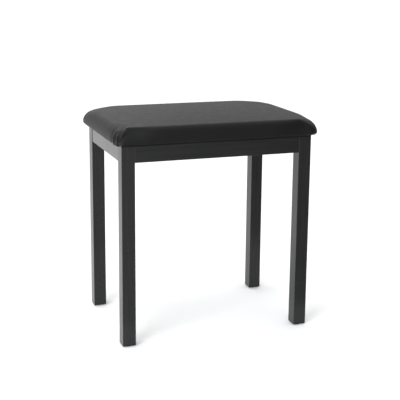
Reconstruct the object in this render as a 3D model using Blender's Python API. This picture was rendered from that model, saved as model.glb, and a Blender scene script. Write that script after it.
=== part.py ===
"""A fixed piano bench: four square legs bolted into a frame of aprons, under an upholstered seat.

Metres, +Z up. The origin is on the floor under the middle of the seat, +X runs along the seat and -Y is the front.
Each corner is built round its leg, in a frame of its own: its +X and +Y run along the two aprons that meet there.
"""

import math

import bmesh
import bpy
from mathutils import Vector

# Overall sizes
SEAT_LENGTH = 0.480
SEAT_DEPTH = 0.330
SEAT_HEIGHT = 0.500
FRAME_LENGTH = 0.446
FRAME_DEPTH = 0.302
FRAME_HEIGHT = 0.456

# Left between two faces that touch
GAP = 0.0003

# Legs and their foot glides
LEG_SIDE = 0.030
LEG_EDGE = 0.0008
BOLT_FLAT_DEPTH = 0.0042
GLIDE_HEIGHT = 0.002
GLIDE_RADIUS = 0.011
GLIDE_STEM_RADIUS = 0.0025
GLIDE_STEM_LENGTH = 0.012

# Aprons, flush with the legs but for a small step
APRON_HEIGHT = 0.039
APRON_THICKNESS = 0.018
APRON_SETBACK = 0.001
APRON_EDGE = 0.0006

# Corner brackets: a plate across the corner, two wings on the aprons and a lip at each end, in a saw kerf
BRACKET_THICKNESS = 0.0015
BRACKET_HEIGHT = 0.033
BRACKET_BEND = 0.040
BRACKET_BEND_RADIUS = 0.0022
BRACKET_LIP = 0.0055
KERF_FROM_LEG = 0.062
KERF_WIDTH = 0.0034
KERF_DEPTH = 0.0065

# Hanger bolts, M6, with their washers and nuts
BOLT_RADIUS = 0.003
BOLT_BORE = BOLT_RADIUS + GAP
BOLT_LENGTH = 0.055
BOLT_IN_LEG = 0.026
WASHER_RADIUS = 0.006
WASHER_THICKNESS = 0.0012
NUT_ACROSS_FLATS = 0.010
NUT_HEIGHT = 0.005

# Wood screws, 3.5 mm
SCREW_RADIUS = 0.00175
SCREW_BORE = SCREW_RADIUS + GAP
SCREW_HEAD_RADIUS = 0.0035
SCREW_HEAD_HEIGHT = 0.0022
BRACKET_SCREW_LENGTH = 0.014
BRACKET_SCREW_FROM_LEG = 0.051
SEAT_SCREW_LENGTH = 0.026
SEAT_SCREW_FROM_MIDDLE = 0.090

# Battens inside the long aprons, which the seat is screwed to
BATTEN_LENGTH = 0.250
BATTEN_SIDE = 0.016

# Seat: from below, the dust cover, the turned-under rim of the vinyl, the board and the foam
DUST_COVER_THICKNESS = 0.0005
DUST_COVER_INSET = 0.026
VINYL_THICKNESS = 0.001
RIM_INSET = 0.036
BOARD_THICKNESS = 0.012
BOARD_INSET = 0.0085
SEAT_CORNER_RADIUS = 0.030
TURN_UNDER_WIDTH = 0.007
TURN_UNDER_HEIGHT = 0.0055
LONG_SHOULDER_WIDTH = 0.017
LONG_SHOULDER_FULLNESS = 3.2
END_SHOULDER_WIDTH = 0.027
END_SHOULDER_FULLNESS = 2.1
CROWN_RISE = 0.0043

DUST_COVER_BOTTOM = FRAME_HEIGHT + GAP
RIM_BOTTOM = DUST_COVER_BOTTOM + DUST_COVER_THICKNESS + GAP
BOARD_BOTTOM = RIM_BOTTOM + VINYL_THICKNESS + GAP
FOAM_BOTTOM = BOARD_BOTTOM + BOARD_THICKNESS + GAP
WIDEST_HEIGHT = RIM_BOTTOM + TURN_UNDER_HEIGHT
SHOULDER_HEIGHT = SEAT_HEIGHT - CROWN_RISE - WIDEST_HEIGHT

APRON_MIDDLE = FRAME_HEIGHT - APRON_HEIGHT / 2
APRON_INNER_FACE = APRON_SETBACK + APRON_THICKNESS - LEG_SIDE / 2

ROUND_SIDES = 18
SCREW_SIDES = 12

# Name, signs of X and Y, turn about Z, and the aprons along the corner's own +X and +Y
CORNERS = (
    ("front_left", -1, -1, 0, "front", "left"),
    ("front_right", 1, -1, 90, "right", "front"),
    ("back_right", 1, 1, 180, "back", "right"),
    ("back_left", -1, 1, 270, "left", "back"),
)


def clear_scene():
    for obj in list(bpy.data.objects):
        bpy.data.objects.remove(obj)


def make_material(name, colour, roughness, metallic=0.0):
    material = bpy.data.materials.new(name)
    material.use_nodes = True
    shader = material.node_tree.nodes["Principled BSDF"]
    shader.inputs["Base Color"].default_value = (*colour, 1)
    shader.inputs["Roughness"].default_value = roughness
    shader.inputs["Metallic"].default_value = metallic
    return material


def make_object(name, mesh, material=None, parent=None):
    obj = bpy.data.objects.new(name, mesh)
    bpy.context.scene.collection.objects.link(obj)
    obj.parent = parent
    if material is None:
        obj.hide_render = True
        obj.display_type = "WIRE"
    elif not mesh.materials:
        mesh.materials.append(material)
    return obj


def loft(name, loops):
    """A closed solid through loops that have the same number of points, with a flat cap at each end."""
    bm = bmesh.new()
    rows = [[bm.verts.new(point) for point in loop] for loop in loops]
    count = len(rows[0])
    for row, following in zip(rows, rows[1:]):
        for index in range(count):
            after = (index + 1) % count
            bm.faces.new((row[index], row[after], following[after], following[index]))
    bm.faces.new(rows[0])
    bm.faces.new(rows[-1])
    return finish_mesh(name, bm)


def collar(name, loops):
    """A closed ring-shaped solid: the last loop is joined to the first."""
    bm = bmesh.new()
    rows = [[bm.verts.new(point) for point in loop] for loop in loops]
    count = len(rows[0])
    for row, following in zip(rows, rows[1:] + rows[:1]):
        for index in range(count):
            after = (index + 1) % count
            bm.faces.new((row[index], row[after], following[after], following[index]))
    return finish_mesh(name, bm)


def finish_mesh(name, bm):
    bmesh.ops.recalc_face_normals(bm, faces=bm.faces)
    mesh = bpy.data.meshes.new(name)
    bm.to_mesh(mesh)
    bm.free()
    return mesh


def rectangle(low_x, low_y, high_x, high_y, z):
    return [(low_x, low_y, z), (high_x, low_y, z), (high_x, high_y, z), (low_x, high_y, z)]


def box(name, low, high):
    bottom = rectangle(low[0], low[1], high[0], high[1], low[2])
    top = rectangle(low[0], low[1], high[0], high[1], high[2])
    return loft(name, [bottom, top])


def circle(radius, z, sides=ROUND_SIDES):
    turns = [2 * math.pi * index / sides for index in range(sides)]
    return [(radius * math.cos(turn), radius * math.sin(turn), z) for turn in turns]


def hexagon(across_flats, z, most_radius):
    """A hexagon with as many points as a circle here, its corners rounded off to most_radius."""
    points = []
    for index in range(ROUND_SIDES):
        turn = 2 * math.pi * index / ROUND_SIDES
        from_flat = turn % (math.pi / 3) - math.pi / 6
        radius = min(across_flats / 2 / math.cos(from_flat), most_radius)
        points.append((radius * math.cos(turn), radius * math.sin(turn), z))
    return points


def turned(name, profile, sides=ROUND_SIDES):
    """A solid turned about Z, from the (radius, height) points of its outer side."""
    mesh = loft(name, [circle(radius, height, sides) for radius, height in profile])
    return smooth_rounds(mesh)


def smooth_rounds(mesh):
    mesh.shade_smooth()
    mesh.set_sharp_from_angle(angle=math.radians(30))
    return mesh


def aim(obj, direction):
    """Turns the object's own Z to the direction."""
    obj.rotation_euler = Vector(direction).to_track_quat("Z", "Y").to_euler()


def bevel_edges(obj, width):
    bevel = obj.modifiers.new("edges", "BEVEL")
    bevel.width = width
    bevel.segments = 2
    bevel.limit_method = "ANGLE"


def cut(obj, *cutters):
    for cutter in cutters:
        boolean = obj.modifiers.new(cutter.name, "BOOLEAN")
        boolean.operation = "DIFFERENCE"
        boolean.solver = "EXACT"
        boolean.object = cutter


def rounded_path(corners, radius, steps):
    """The corners joined by straight runs, with an arc in place of each inner corner."""
    path = [corners[0]]
    for before, corner, after in zip(corners, corners[1:], corners[2:]):
        to_before = (before - corner).normalized()
        to_after = (after - corner).normalized()
        half_angle = to_before.angle(to_after) / 2
        centre = corner + (to_before + to_after).normalized() * radius / math.sin(half_angle)
        start = corner + to_before * radius / math.tan(half_angle) - centre
        end = corner + to_after * radius / math.tan(half_angle) - centre
        path += [centre + radius * start.slerp(end, step / steps) for step in range(steps + 1)]
    return path + [corners[-1]]


def bent_strip(name, path, thickness, low, high):
    """A strip on edge: it follows the path in plan and stands from low to high."""
    sections = []
    for index, point in enumerate(path):
        run = path[min(index + 1, len(path) - 1)] - path[max(index - 1, 0)]
        across = Vector((-run.y, run.x, 0)).normalized() * thickness / 2
        left, right = point + across, point - across
        sections.append([
            (left.x, left.y, low), (right.x, right.y, low),
            (right.x, right.y, high), (left.x, left.y, high),
        ])
    return loft(name, sections)


# Corner hardware. Each mesh is made once, and every corner has its own objects.


def leg_mesh():
    half = LEG_SIDE / 2
    return box("leg", (-half, -half, GLIDE_HEIGHT + GAP), (half, half, FRAME_HEIGHT))


def bolt_flat_mesh():
    """The wedge that a leg loses on its inner edge, where the bolt goes in."""
    corner = LEG_SIDE / 2 + 0.001
    reach = 2 * BOLT_FLAT_DEPTH * math.sqrt(2)
    low = FRAME_HEIGHT - APRON_HEIGHT - 0.002
    outline = [(corner, corner - reach), (corner, corner), (corner - reach, corner)]
    return loft("bolt_flat", [[(x, y, z) for x, y in outline] for z in (low, FRAME_HEIGHT + 0.001)])


def glide_mesh():
    rim = 0.0006
    stem_top = GLIDE_HEIGHT + GLIDE_STEM_LENGTH
    return turned("glide", [
        (GLIDE_RADIUS - rim, 0), (GLIDE_RADIUS, rim), (GLIDE_RADIUS, GLIDE_HEIGHT),
        (GLIDE_STEM_RADIUS, GLIDE_HEIGHT), (GLIDE_STEM_RADIUS, stem_top - 0.001),
        (GLIDE_STEM_RADIUS - 0.001, stem_top),
    ])


def glide_bore_mesh():
    radius = GLIDE_STEM_RADIUS + GAP
    return turned("glide_bore", [(radius, 0), (radius, GLIDE_HEIGHT + GLIDE_STEM_LENGTH + 0.001)])


def bracket_path():
    wing = APRON_INNER_FACE + GAP + BRACKET_THICKNESS / 2
    lip_end = APRON_INNER_FACE - BRACKET_LIP
    along_x = [(KERF_FROM_LEG, lip_end), (KERF_FROM_LEG, wing), (BRACKET_BEND, wing)]
    along_y = [(y, x) for x, y in reversed(along_x)]
    corners = [Vector((x, y, 0)) for x, y in along_x + along_y]
    return rounded_path(corners, BRACKET_BEND_RADIUS, 4)


def bracket_mesh():
    low = APRON_MIDDLE - BRACKET_HEIGHT / 2
    high = APRON_MIDDLE + BRACKET_HEIGHT / 2
    mesh = bent_strip("corner_bracket", bracket_path(), BRACKET_THICKNESS, low, high)
    return smooth_rounds(mesh)


def plate_from_leg():
    """How far the bracket's plate is from the leg's middle, along the bolt."""
    wing = APRON_INNER_FACE + GAP + BRACKET_THICKNESS / 2
    return (BRACKET_BEND + wing) / math.sqrt(2)


def bolt_mesh():
    """A hanger bolt: a pointed wood thread, a plain waist and a machine thread."""
    tip = 0.005
    waist = BOLT_RADIUS - 0.0005
    return turned("hanger_bolt", [
        (0.0004, 0), (BOLT_RADIUS, tip), (BOLT_RADIUS, BOLT_IN_LEG - 0.001), (waist, BOLT_IN_LEG),
        (waist, BOLT_IN_LEG + 0.003), (BOLT_RADIUS, BOLT_IN_LEG + 0.004),
        (BOLT_RADIUS, BOLT_LENGTH - 0.0008), (BOLT_RADIUS - 0.0008, BOLT_LENGTH),
    ])


def bolt_bore_mesh():
    return turned("bolt_bore", [(BOLT_BORE, -0.0006), (BOLT_BORE, BOLT_LENGTH)])


def washer_mesh():
    return smooth_rounds(collar("washer", [
        circle(WASHER_RADIUS, 0), circle(WASHER_RADIUS, WASHER_THICKNESS),
        circle(BOLT_BORE, WASHER_THICKNESS), circle(BOLT_BORE, 0),
    ]))


def nut_mesh():
    chamfer = 0.0006
    corners = NUT_ACROSS_FLATS
    return collar("nut", [
        circle(NUT_ACROSS_FLATS / 2, 0), hexagon(NUT_ACROSS_FLATS, chamfer, corners),
        hexagon(NUT_ACROSS_FLATS, NUT_HEIGHT - chamfer, corners),
        circle(NUT_ACROSS_FLATS / 2, NUT_HEIGHT),
        circle(BOLT_BORE, NUT_HEIGHT), circle(BOLT_BORE, 0),
    ])


def screw_mesh(name, length):
    """A pan-head wood screw that points down Z, its head resting at the origin."""
    head = SCREW_HEAD_HEIGHT
    return turned(name, [
        (0.0002, -length), (SCREW_RADIUS, -length + 0.004), (SCREW_RADIUS, 0), (SCREW_HEAD_RADIUS, 0),
        (SCREW_HEAD_RADIUS, head * 0.4), (SCREW_HEAD_RADIUS * 0.8, head * 0.85),
        (SCREW_HEAD_RADIUS * 0.35, head),
    ], SCREW_SIDES)


def screw_bore_mesh(name, length):
    return turned(name, [(SCREW_BORE, -length - 0.0008), (SCREW_BORE, 0.0008)], SCREW_SIDES)


def kerf_mesh(name):
    """The saw kerf that a bracket's lip sits in, across an apron that runs along X."""
    low = (KERF_FROM_LEG - KERF_WIDTH / 2, APRON_INNER_FACE - KERF_DEPTH)
    high = (KERF_FROM_LEG + KERF_WIDTH / 2, APRON_INNER_FACE + 0.001)
    below, above = FRAME_HEIGHT - APRON_HEIGHT - 0.001, FRAME_HEIGHT + 0.001
    return box(name, (*low, below), (*high, above))


def apron_mesh(length):
    """An apron that runs along X about its own middle, with its outer face towards -Y."""
    half = length / 2 - GAP
    return box("apron", (-half, 0, FRAME_HEIGHT - APRON_HEIGHT), (half, APRON_THICKNESS, FRAME_HEIGHT))


def make_meshes():
    return {
        "leg": leg_mesh(),
        "bolt_flat": bolt_flat_mesh(),
        "glide": glide_mesh(),
        "glide_bore": glide_bore_mesh(),
        "bracket": bracket_mesh(),
        "bolt": bolt_mesh(),
        "bolt_bore": bolt_bore_mesh(),
        "washer": washer_mesh(),
        "nut": nut_mesh(),
        "screw": screw_mesh("bracket_screw", BRACKET_SCREW_LENGTH),
        "screw_bore": screw_bore_mesh("bracket_screw_bore", BRACKET_SCREW_LENGTH),
        "kerf": kerf_mesh("kerf"),
    }


def make_bracket_screw(corner, name, mesh, axis_swapped, material):
    """One screw, or its bore, through a bracket's wing: along the corner's +X, or its +Y if axis_swapped."""
    head = APRON_INNER_FACE + 2 * GAP + BRACKET_THICKNESS
    place, outward = (BRACKET_SCREW_FROM_LEG, head), (0, 1)
    if axis_swapped:
        place, outward = place[::-1], outward[::-1]
    screw = make_object(name, mesh, material, corner)
    screw.location = (*place, APRON_MIDDLE)
    aim(screw, (*outward, 0))
    return screw


def make_bolt_stack(corner, name, meshes, steel):
    """The hanger bolt with its washer and nut, along the diagonal out of the leg. Returns the bore's cutter."""
    diagonal = Vector((1, 1, 0)).normalized()
    flat = LEG_SIDE / math.sqrt(2) - BOLT_FLAT_DEPTH
    washer_start = plate_from_leg() + BRACKET_THICKNESS / 2 + GAP
    nut_start = washer_start + WASHER_THICKNESS + GAP
    starts = {"bolt": flat - BOLT_IN_LEG, "washer": washer_start, "nut": nut_start}
    names = {"bolt": "hanger_bolt", "washer": "bolt_washer", "nut": "bolt_nut"}
    for key, start in starts.items():
        piece = make_object(f"{names[key]}_{name}", meshes[key], steel, corner)
        piece.location = diagonal * start + Vector((0, 0, APRON_MIDDLE))
        aim(piece, diagonal)
    bore = make_object(f"bolt_bore_{name}", meshes["bolt_bore"], None, corner)
    bore.location = diagonal * starts["bolt"] + Vector((0, 0, APRON_MIDDLE))
    aim(bore, diagonal)
    return bore


def make_corner(name, sign_x, sign_y, turn, meshes, finishes):
    """A leg with everything that holds it. Returns the cutters for the aprons along the corner's +X and +Y."""
    corner = bpy.data.objects.new(f"corner_{name}", None)
    bpy.context.scene.collection.objects.link(corner)
    corner.location = (sign_x * (FRAME_LENGTH - LEG_SIDE) / 2, sign_y * (FRAME_DEPTH - LEG_SIDE) / 2, 0)
    corner.rotation_euler = (0, 0, math.radians(turn))

    leg = make_object(f"leg_{name}", meshes["leg"], finishes["lacquer"], corner)
    bolt_flat = make_object(f"bolt_flat_{name}", meshes["bolt_flat"], None, corner)
    glide_bore = make_object(f"glide_bore_{name}", meshes["glide_bore"], None, corner)
    bolt_bore = make_bolt_stack(corner, name, meshes, finishes["zinc"])
    bevel_edges(leg, LEG_EDGE)
    cut(leg, bolt_flat, bolt_bore, glide_bore)
    make_object(f"foot_glide_{name}", meshes["glide"], finishes["nylon"], corner)

    bracket = make_object(f"corner_bracket_{name}", meshes["bracket"], finishes["zinc"], corner)
    cut(bracket, bolt_bore)
    apron_cutters = []
    for swapped in (False, True):
        long_apron = swapped == (turn in (90, 270))
        side = "long" if long_apron else "short"
        make_bracket_screw(corner, f"bracket_screw_{name}_{side}", meshes["screw"], swapped, finishes["zinc"])
        bore = make_bracket_screw(corner, f"screw_bore_{name}_{side}", meshes["screw_bore"], swapped, None)
        cut(bracket, bore)
        kerf = make_object(f"kerf_{name}_{side}", meshes["kerf"], None, corner)
        if swapped:
            # A mirror line at 45 degrees swaps X with Y: half a turn about the diagonal.
            kerf.rotation_euler = (math.pi, 0, math.pi / 2)
            kerf.location = (0, 0, 2 * APRON_MIDDLE)
        apron_cutters.append([kerf, bore])
    return apron_cutters


def make_aprons(cutters, lacquer):
    long_mesh = apron_mesh(FRAME_LENGTH - 2 * LEG_SIDE)
    short_mesh = apron_mesh(FRAME_DEPTH - 2 * LEG_SIDE)
    from_front = FRAME_DEPTH / 2 - APRON_SETBACK
    from_side = FRAME_LENGTH / 2 - APRON_SETBACK
    places = {
        "front": (long_mesh, (0, -from_front), 0),
        "right": (short_mesh, (from_side, 0), 90),
        "back": (long_mesh, (0, from_front), 180),
        "left": (short_mesh, (-from_side, 0), 270),
    }
    for side, (mesh, place, turn) in places.items():
        apron = make_object(f"apron_{side}", mesh, lacquer)
        apron.location = (*place, 0)
        apron.rotation_euler = (0, 0, math.radians(turn))
        bevel_edges(apron, APRON_EDGE)
        cut(apron, *cutters[side])


def make_battens(finishes):
    """A batten inside each long apron, with two screws up into the seat. Returns the screws' bores."""
    half = BATTEN_LENGTH / 2
    outer = FRAME_DEPTH / 2 - APRON_SETBACK - APRON_THICKNESS - GAP
    low = FRAME_HEIGHT - BATTEN_SIDE
    mesh = box("batten", (-half, -outer, low), (half, BATTEN_SIDE - outer, FRAME_HEIGHT))
    screw_mesh_up = screw_mesh("seat_screw", SEAT_SCREW_LENGTH)
    bore_mesh = screw_bore_mesh("seat_screw_bore", SEAT_SCREW_LENGTH)
    bores = []
    for side, turn in (("front", 0), ("back", math.pi)):
        batten = make_object(f"seat_batten_{side}", mesh, finishes["raw_wood"])
        batten.rotation_euler = (0, 0, turn)
        bevel_edges(batten, APRON_EDGE)
        sign = -1 if side == "front" else 1
        for end, x in (("left", -SEAT_SCREW_FROM_MIDDLE), ("right", SEAT_SCREW_FROM_MIDDLE)):
            place = (x, sign * (outer - BATTEN_SIDE / 2), low - GAP)
            screw = make_object(f"seat_screw_{side}_{end}", screw_mesh_up, finishes["zinc"])
            bore = make_object(f"seat_screw_bore_{side}_{end}", bore_mesh)
            for piece in (screw, bore):
                piece.location = place
                piece.rotation_euler = (math.pi, 0, 0)
            cut(batten, bore)
            bores.append(bore)
    return bores


# Seat


def seat_loop(inset, z, at_ends=0.0, corner_steps=6):
    """The seat's outline in plan, drawn in by inset on every side, and by at_ends more on the two short ones."""
    half_x = SEAT_LENGTH / 2 - inset - at_ends
    half_y = SEAT_DEPTH / 2 - inset
    radius = SEAT_CORNER_RADIUS * half_y / (SEAT_DEPTH / 2)
    points = []
    for quarter, (sign_x, sign_y) in enumerate(((1, 1), (-1, 1), (-1, -1), (1, -1))):
        centre_x = sign_x * (half_x - radius)
        centre_y = sign_y * (half_y - radius)
        for step in range(corner_steps + 1):
            turn = (quarter + step / corner_steps) * math.pi / 2
            points.append((centre_x + radius * math.cos(turn), centre_y + radius * math.sin(turn), z))
    return points


def turn_under_loops(skin):
    """From the vinyl's free edge below the seat, out and up to where the seat is widest."""
    width = TURN_UNDER_WIDTH
    height = TURN_UNDER_HEIGHT - skin
    loops = [seat_loop(RIM_INSET, RIM_BOTTOM + skin)]
    for step in range(4):
        turn = step / 4 * math.pi / 2
        inset = skin + width * (1 - math.sin(turn))
        loops.append(seat_loop(inset, RIM_BOTTOM + skin + height * (1 - math.cos(turn))))
    return loops


def shoulder_inset(width, fullness, share):
    """How far in the shoulder is at that share of its height: a quarter of a superellipse."""
    return width * (1 - (1 - share**fullness) ** (1 / fullness))


def shoulder_loops(skin, lowest=WIDEST_HEIGHT):
    """From the widest line, or from lowest where that is higher, up round the shoulder."""
    height = SHOULDER_HEIGHT - skin
    start = math.asin((lowest - WIDEST_HEIGHT) / height)
    loops = []
    for step in range(9):
        share = min(math.sin(start + (math.pi / 2 - start) * step / 8), 1.0)
        along = shoulder_inset(LONG_SHOULDER_WIDTH, LONG_SHOULDER_FULLNESS, share)
        ends = shoulder_inset(END_SHOULDER_WIDTH, END_SHOULDER_FULLNESS, share)
        loops.append(seat_loop(skin + along, WIDEST_HEIGHT + height * share, ends - along))
    return loops


def crown_loops(edge):
    """Over the top, from the shoulder's last loop to a small loop round the middle."""
    loops = []
    for part in (0.8, 0.6, 0.4, 0.2, 0.05):
        rise = CROWN_RISE * (1 - part**2)
        loops.append([(x * part, y * part, z + rise) for x, y, z in edge])
    return loops


def cover_surface(skin):
    shoulder = shoulder_loops(skin)
    return turn_under_loops(skin) + shoulder + crown_loops(shoulder[-1])


def make_seat(bores, finishes):
    outside = cover_surface(0)
    inside = cover_surface(VINYL_THICKNESS)
    cover = make_object("seat_cover", loft("seat_cover", outside[::-1] + inside), finishes["vinyl"])
    cover.data.shade_smooth()
    cover.data.set_sharp_from_angle(angle=math.radians(40))

    padding = shoulder_loops(VINYL_THICKNESS + GAP, FOAM_BOTTOM)
    foam_mesh = loft("seat_foam", padding + crown_loops(padding[-1]))
    make_object("seat_foam", foam_mesh, finishes["foam"])

    board_levels = (BOARD_BOTTOM, BOARD_BOTTOM + BOARD_THICKNESS)
    board_mesh = loft("seat_board", [seat_loop(BOARD_INSET, z) for z in board_levels])
    board = make_object("seat_board", board_mesh, finishes["raw_wood"])
    sheet_levels = (DUST_COVER_BOTTOM, DUST_COVER_BOTTOM + DUST_COVER_THICKNESS)
    sheet_mesh = loft("dust_cover", [seat_loop(DUST_COVER_INSET, z) for z in sheet_levels])
    sheet = make_object("dust_cover", sheet_mesh, finishes["non_woven"])
    cut(board, *bores)
    cut(sheet, *bores)


def main():
    clear_scene()
    finishes = {
        "lacquer": make_material("black_satin_lacquer", (0.012, 0.012, 0.013), 0.35),
        "vinyl": make_material("black_vinyl", (0.016, 0.016, 0.016), 0.45),
        "foam": make_material("seat_foam", (0.75, 0.68, 0.42), 0.95),
        "raw_wood": make_material("plywood", (0.55, 0.38, 0.22), 0.7),
        "non_woven": make_material("black_non_woven", (0.02, 0.02, 0.02), 0.95),
        "zinc": make_material("zinc_plated_steel", (0.55, 0.56, 0.58), 0.35, 1.0),
        "nylon": make_material("black_nylon", (0.02, 0.02, 0.02), 0.5),
    }
    meshes = make_meshes()
    apron_cutters = {"front": [], "right": [], "back": [], "left": []}
    for name, sign_x, sign_y, turn, apron_along_x, apron_along_y in CORNERS:
        along_x, along_y = make_corner(name, sign_x, sign_y, turn, meshes, finishes)
        apron_cutters[apron_along_x] += along_x
        apron_cutters[apron_along_y] += along_y
    make_aprons(apron_cutters, finishes["lacquer"])
    bores = make_battens(finishes)
    make_seat(bores, finishes)


main()
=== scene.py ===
"""The looks of a fixed piano bench: satin black wood, a folded vinyl seat, and the steel that joins them.

Metres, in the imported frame: +Z up, the floor at 0, +X along the seat and -Y the front.
"""

import math

import bmesh
import bpy
import numpy as np
from mathutils import Matrix, Vector


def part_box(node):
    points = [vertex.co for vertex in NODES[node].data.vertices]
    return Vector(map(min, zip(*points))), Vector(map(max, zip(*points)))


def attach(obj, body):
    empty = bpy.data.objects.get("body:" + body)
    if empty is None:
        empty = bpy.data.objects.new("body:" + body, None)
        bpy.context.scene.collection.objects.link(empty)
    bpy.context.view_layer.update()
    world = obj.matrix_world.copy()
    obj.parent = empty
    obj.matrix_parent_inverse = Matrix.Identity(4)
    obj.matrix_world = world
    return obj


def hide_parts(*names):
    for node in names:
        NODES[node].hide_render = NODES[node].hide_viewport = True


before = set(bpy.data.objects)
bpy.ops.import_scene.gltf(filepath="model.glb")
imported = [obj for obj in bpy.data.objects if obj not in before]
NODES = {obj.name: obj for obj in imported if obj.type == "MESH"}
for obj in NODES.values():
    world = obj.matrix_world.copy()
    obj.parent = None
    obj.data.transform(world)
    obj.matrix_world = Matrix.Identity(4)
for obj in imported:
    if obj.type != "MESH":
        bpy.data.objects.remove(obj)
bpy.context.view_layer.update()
CORNERS = ("front_left", "front_right", "back_right", "back_left")

# Camera: where it stands, how it is turned in degrees, its lens in millimetres and its shift, which keeps the
# legs nearly upright in the picture
CAMERA_PLACE = (-0.7203, -2.0236, 0.8307)
CAMERA_DOWN = 11.80
CAMERA_TO_RIGHT = 19.81
CAMERA_ROLL = 0.52
CAMERA_LENS = 83.6
CAMERA_SHIFT = -0.10

# Left between two faces that touch
GAP = 0.0003

# Points nearer to each other than this are one point
SAME_PLACE = 0.000001

# Seat cover in plan, its corners as in CORNERS, and its section from below: a flat rim, a turn under, an
# upright wall, a rounded edge and a crowned top
CORNER_RADII = (0.021, 0.026, 0.030, 0.030)
VINYL_THICKNESS = 0.001
RIM_INSET = 0.036
TURN_UNDER_WIDTH = 0.007
TURN_UNDER_HEIGHT = 0.0055
TOP_INSET = 0.040
CROWN_RISE = 0.0043

# How far from a corner's middle the section differs from its shape halfway along the side, at the first and
# the last corner of the front, right, back and left sides
CORNER_REACHES = ((0.016, 0.045), (0.075, 0.075), (0.075, 0.075), (0.075, 0.075))

# The wall's height and the rounded edge's width, halfway along a side and at a corner
LONG_SIDE_WALL = 0.018
LONG_SIDE_EDGE = 0.0105
SHORT_SIDE_WALL = 0.001
SHORT_SIDE_EDGE = 0.023
CORNER_WALL = 0.001
CORNER_EDGE = 0.038

# At the corners the long sides' walls lean in by this share of their height, and less over this way from them
WALL_LEAN = 0.5
LEAN_REACH = 0.095

# Steps along and rings up the seat cover's mesh, before its one subdivision
CORNER_STEPS = 18
LONG_SIDE_STEPS = 44
SHORT_SIDE_STEPS = 30
RIM_RINGS = 5
TURN_UNDER_RINGS = 5
WALL_RINGS = 26
ELLIPSE_STEPS = 40

# Folds of the vinyl by each corner, as (depth, inner width, outer width, points). The points are the way from
# the corner's middle, below 0 on the short side, and the way up, where FOLD_SCALE is from the rim to the top.
# A fold stands out by its depth, or in below 0, and dies away over its inner width right of the line and its
# outer width left of it. Each corner has its share of the depth. Folds start at the climb FOLD_START, where 0
# is the rim's outer edge and 1 the top, are whole FOLD_START_OVER above it, and fade over their line's end.
FOLD_SCALE = 0.060
FOLD_SHARES = (1.0, 0.3, 0.6, 0.4)
FOLD_START = -0.10
FOLD_START_OVER = 0.15
FOLD_FADE = 0.35
FOLDS = (
    (0.0013, 0.0048, 0.0024, (
        (-0.0105, 0.000), (-0.0115, 0.010), (-0.0165, 0.020), (-0.0170, 0.028), (-0.0125, 0.034),
        (-0.001, 0.037), (0.013, 0.038))),
    (0.0024, 0.0038, 0.0030, ((-0.0022, 0.000), (-0.0032, 0.010), (-0.0030, 0.020), (0.000, 0.029))),
    (-0.0018, 0.0045, 0.0065, (
        (-0.020, 0.000), (-0.024, 0.014), (-0.027, 0.025), (-0.022, 0.037), (-0.008, 0.044))),
    (-0.0008, 0.0028, 0.0028, ((-0.0080, 0.004), (-0.0095, 0.018), (-0.0085, 0.029))),
    (-0.0009, 0.0034, 0.0034, ((0.0025, 0.020), (0.0030, 0.027), (0.006, 0.033))),
)

# The folds lie a little further along at some corners: by FOLD_SHIFT times the sine of the corner's number
# times FOLD_SHIFT_TURN
FOLD_SHIFT = 0.0008
FOLD_SHIFT_TURN = 2.3

# Small gathers low on each corner: their depth and pitch, how far along they reach, and how high a climb
GATHER_DEPTH = 0.0004
GATHER_PITCH = 0.0062
GATHER_REACH = 0.040
GATHER_CLIMB = 0.24

# Cloth simulation of the cover. It is held fast up to the height RIM_HELD, and over RIM_TO_FOAM above that
# the hold falls to the foam's. Its corners are looser by the shrink below 0, which fades over SLACK_REACH.
RIM_HELD = 0.002
RIM_TO_FOAM = 0.006
FOAM_HOLD = 0.30
SLACK_REACH = 0.060
MOST_MOVE = 0.0025
LAST_FRAME = 20
CLOTH = {
    "quality": 6, "mass": 0.35, "tension_stiffness": 25, "compression_stiffness": 25, "shear_stiffness": 12,
    "bending_stiffness": 0.5, "tension_damping": 12, "shear_damping": 12, "air_damping": 4,
    "pin_stiffness": 1, "vertex_group_mass": "held", "vertex_group_shrink": "slack", "shrink_min": 0,
    "shrink_max": -0.04, "use_pressure": True, "uniform_pressure_force": 1.5,
}

# The foam's rounded surface starts at the cover's first ring that is this far above the foam's underside
FOAM_FIRST_RING = 0.001

# Dust cover: its thickness and steps, then its sag and its puckers. Both grow from the edges inwards, as
# four times the way from the nearest edge passes the values here.
SHEET_THICKNESS = 0.0004
SHEET_STEPS = (120, 80)
BELLY = 0.0030
BELLY_OVER = 0.35
PUCKER = 0.0007
PUCKER_START = 0.11
PUCKER_OVER = 0.15

# Hardware. A thread has STEPS_PER_TURN and no core thinner than LEAST_RADIUS. The nut's corners are turned
# off by a cone at each end, which starts at NUT_CONE_SHARE of its width and is stepped at NUT_LEVELS.
STEPS_PER_TURN = 6
LEAST_RADIUS = 0.0002
BOLT_RADIUS = 0.003
BOLT_LENGTH = 0.055
BOLT_IN_LEG = 0.026
WASHER_RADIUS = 0.006
WASHER_THICKNESS = 0.0012
WASHER_EASE = 0.00018
NUT_ACROSS_FLATS = 0.010
NUT_HEIGHT = 0.005
NUT_LEVELS = (0.0, 0.0003, 0.0006, 0.0009)
NUT_CONE_SHARE = 0.94
NUT_CONE_SLOPE = math.radians(60)
NUT_SINK_WIDTH = 0.0005
NUT_SINK_DEPTH = 0.0006
SCREW_RADIUS = 0.00175
SCREW_HEAD_RADIUS = 0.0035
SCREW_HEAD_HEIGHT = 0.0022
RECESS_DEPTH = 0.0017
BRACKET_SCREW_LENGTH = 0.014
SEAT_SCREW_LENGTH = 0.026
GLIDE_RADIUS = 0.011
GLIDE_HEIGHT = 0.002
GLIDE_STEM_RADIUS = 0.0025
GLIDE_STEM_LENGTH = 0.012

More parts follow.
